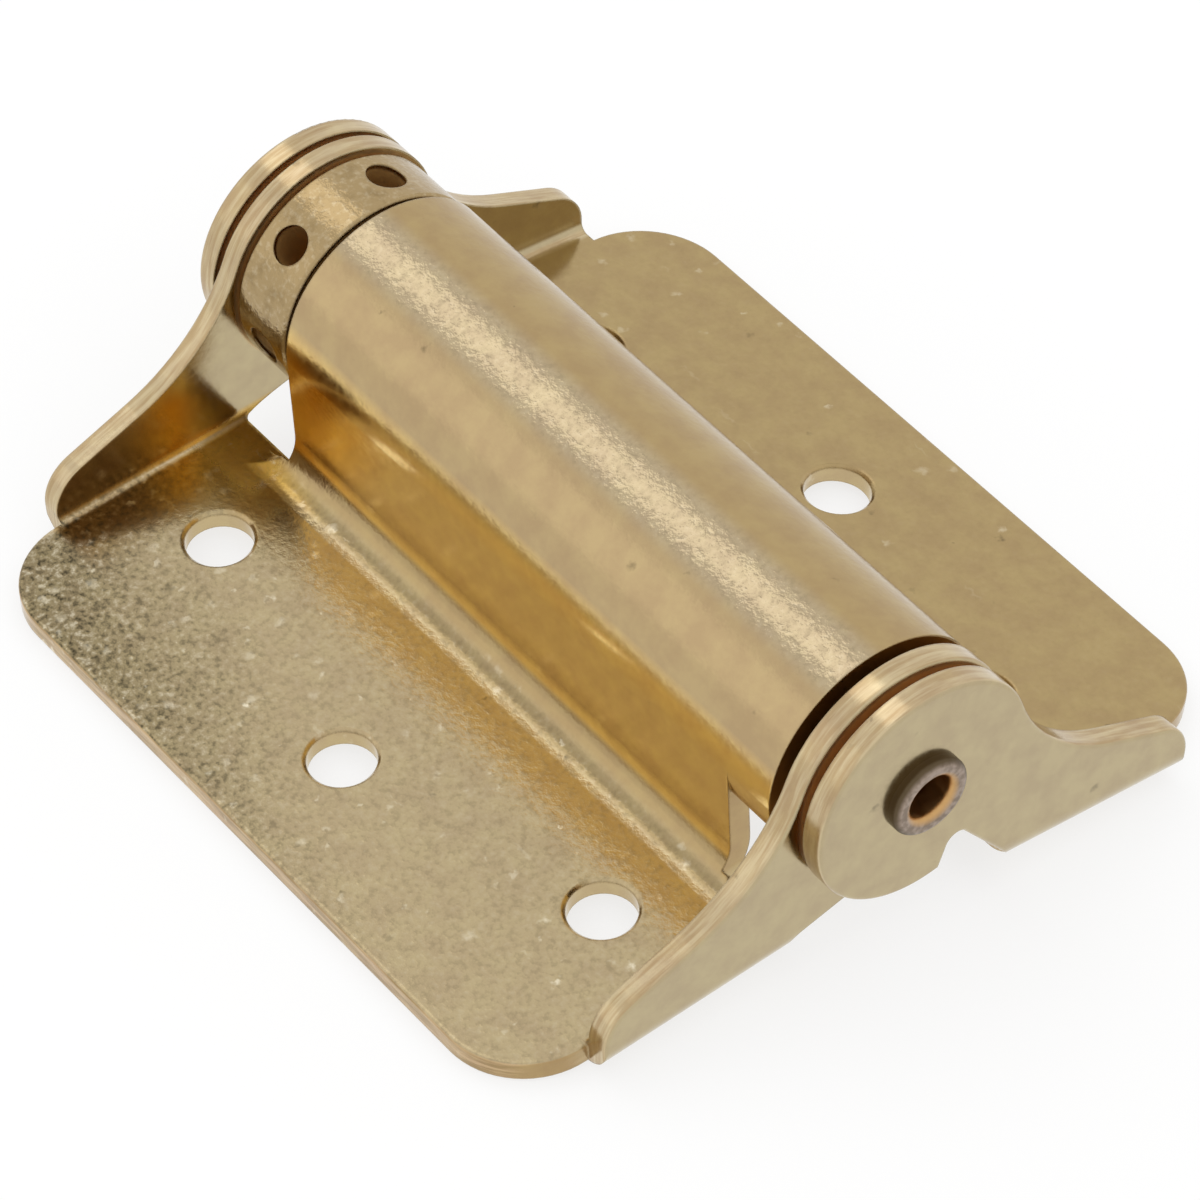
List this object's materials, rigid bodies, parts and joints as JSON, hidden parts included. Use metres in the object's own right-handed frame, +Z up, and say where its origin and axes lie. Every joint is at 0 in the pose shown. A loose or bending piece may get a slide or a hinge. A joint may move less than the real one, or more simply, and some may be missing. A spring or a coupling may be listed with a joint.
{
  "type": "spring hinge",
  "caption": "Self-closing spring hinge for a light door: folded sheet-metal leaves on a hollow rivet, with a coil spring in a rolled barrel and a collar to wind it.",
  "frame": {"origin": "on the surface it stands on, below the middle of the pin", "axes": "+X along the pin, away from the collar; +Y towards the plain leaf; +Z up"},
  "size_m": [0.0716, 0.0624, 0.0238],
  "materials": {
    "plated_leaf": "steel with a thin satin brass plating",
    "plated_collar": "turned steel with a thin satin brass plating",
    "dull_rivet": "dull browned steel, ends rolled over",
    "spring_wire": "bare hard-drawn spring wire"
  },
  "bodies": {
    "barrel_side": {"barrel_leaf": "plated_leaf", "torsion_spring": "spring_wire"},
    "plain_side": {"plain_leaf": "plated_leaf", "rivet_pin": "dull_rivet"},
    "collar": {"adjusting_collar": "plated_collar"}
  },
  "joints": [
    {"name": "leaf_fold", "type": "hinge", "parent": "barrel_side", "child": "plain_side", "pos_m": [0, 0, 0.01478], "axis": [1, 0, 0], "range_deg": [-67, 225]},
    {"name": "collar_turn", "type": "hinge", "parent": "barrel_side", "child": "collar", "pos_m": [0, 0, 0.01478], "axis": [-1, 0, 0], "range_deg": [0, 270], "stiffness_Nm_per_rad": 0.196, "deforming": ["torsion_spring"]}
  ]
}
